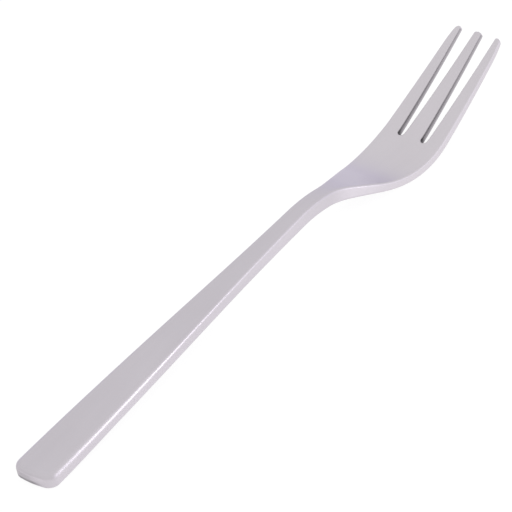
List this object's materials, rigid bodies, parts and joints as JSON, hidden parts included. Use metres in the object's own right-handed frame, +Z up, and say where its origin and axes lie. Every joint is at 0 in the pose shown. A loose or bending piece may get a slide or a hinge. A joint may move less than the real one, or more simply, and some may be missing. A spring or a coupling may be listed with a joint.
{
  "type": "dessert fork",
  "caption": "Slim one-piece dessert fork with a flat, tapering handle, a narrow neck and a head that dips and rises into blunt tines, for eating cake and other desserts.",
  "frame": {"origin": "on the table, under the middle of the fork's bounding box", "axes": "+X along the fork towards the tips of its tines, +Z up from the table it lies on, +Y to the left seen from the handle"},
  "size_m": [0.1552, 0.0154, 0.014],
  "materials": {
    "satin_stainless_steel": "satin, with softly rounded and polished edges"
  },
  "bodies": {
    "root": {"dessert_fork": "satin_stainless_steel"}
  },
  "joints": []
}
